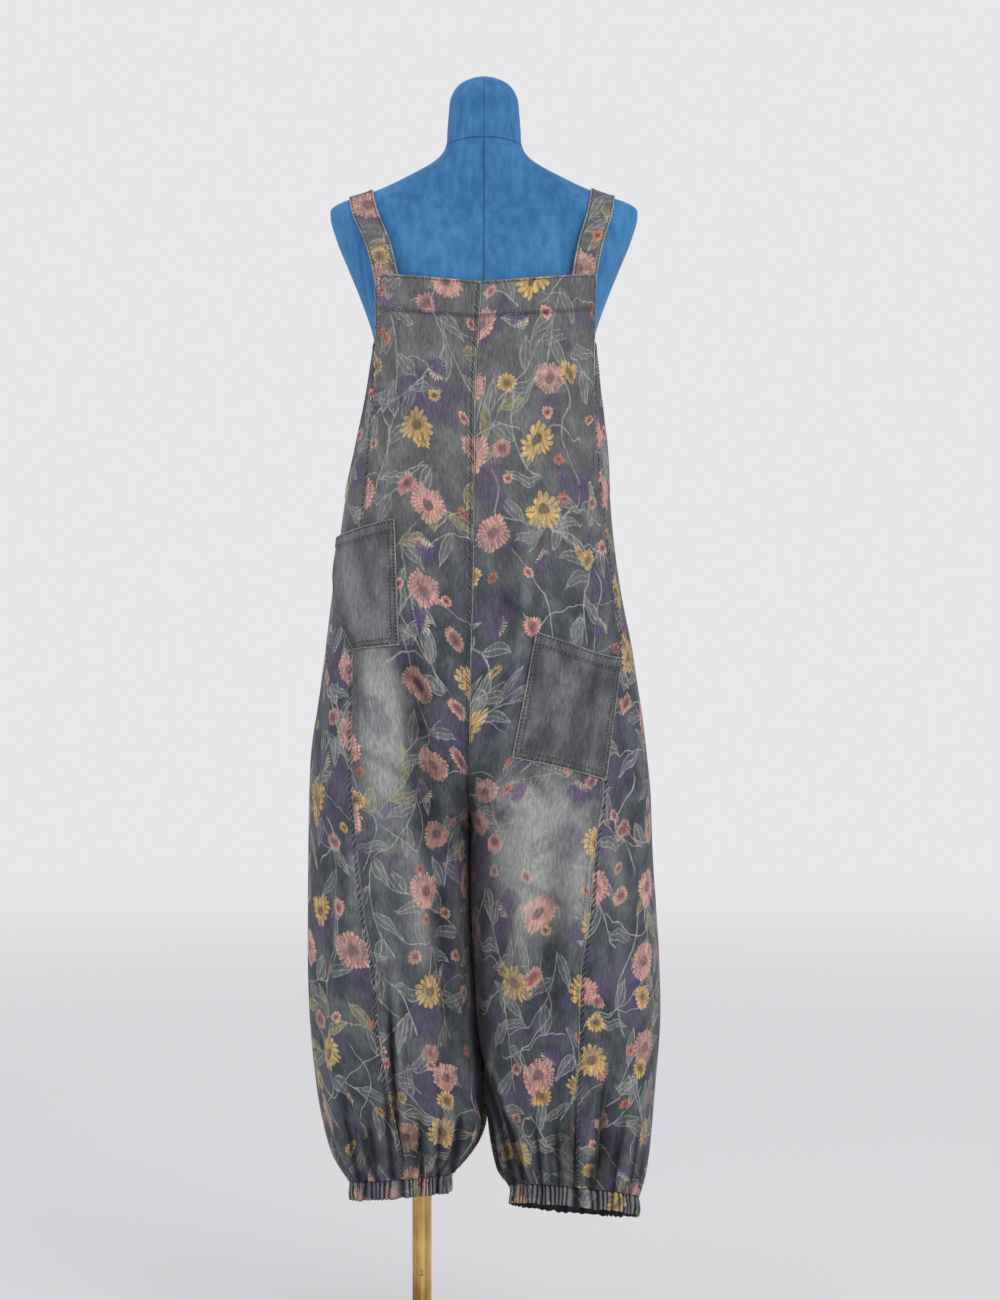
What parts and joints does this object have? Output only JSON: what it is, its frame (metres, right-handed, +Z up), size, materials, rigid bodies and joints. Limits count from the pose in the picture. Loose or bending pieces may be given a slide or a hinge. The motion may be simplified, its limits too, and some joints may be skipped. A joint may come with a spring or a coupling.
{
  "type": "harem jumpsuit on a dress form with stand",
  "caption": "Bib harem jumpsuit with two straps, patch pockets and gathered cuffs, carried by a limbless dress form on a pole with a round base.",
  "frame": {"origin": "middle of the stand base's underside, on the floor, on the pole's axis", "axes": "+Z up along the pole, the garment's back faces -Y, +X to the right seen from its back"},
  "size_m": [0.4811, 0.356, 1.6555],
  "materials": {
    "printed_denim": "washed twill with a flower print",
    "plain_denim": "worn plain twill",
    "velvet": "short blue pile",
    "brass": "polished",
    "steel": "satin"
  },
  "bodies": {
    "root": {"back_left_panel": "printed_denim", "back_right_panel": "printed_denim", "front_left_panel": "printed_denim", "front_right_panel": "printed_denim", "strap_left": "printed_denim", "strap_right": "printed_denim", "cuff_left": "printed_denim", "cuff_right": "printed_denim", "pocket_left": "plain_denim", "pocket_right": "plain_denim", "form_body": "velvet", "form_socket": "steel", "pole": "brass", "pole_button": "brass", "base": "steel"}
  },
  "joints": []
}
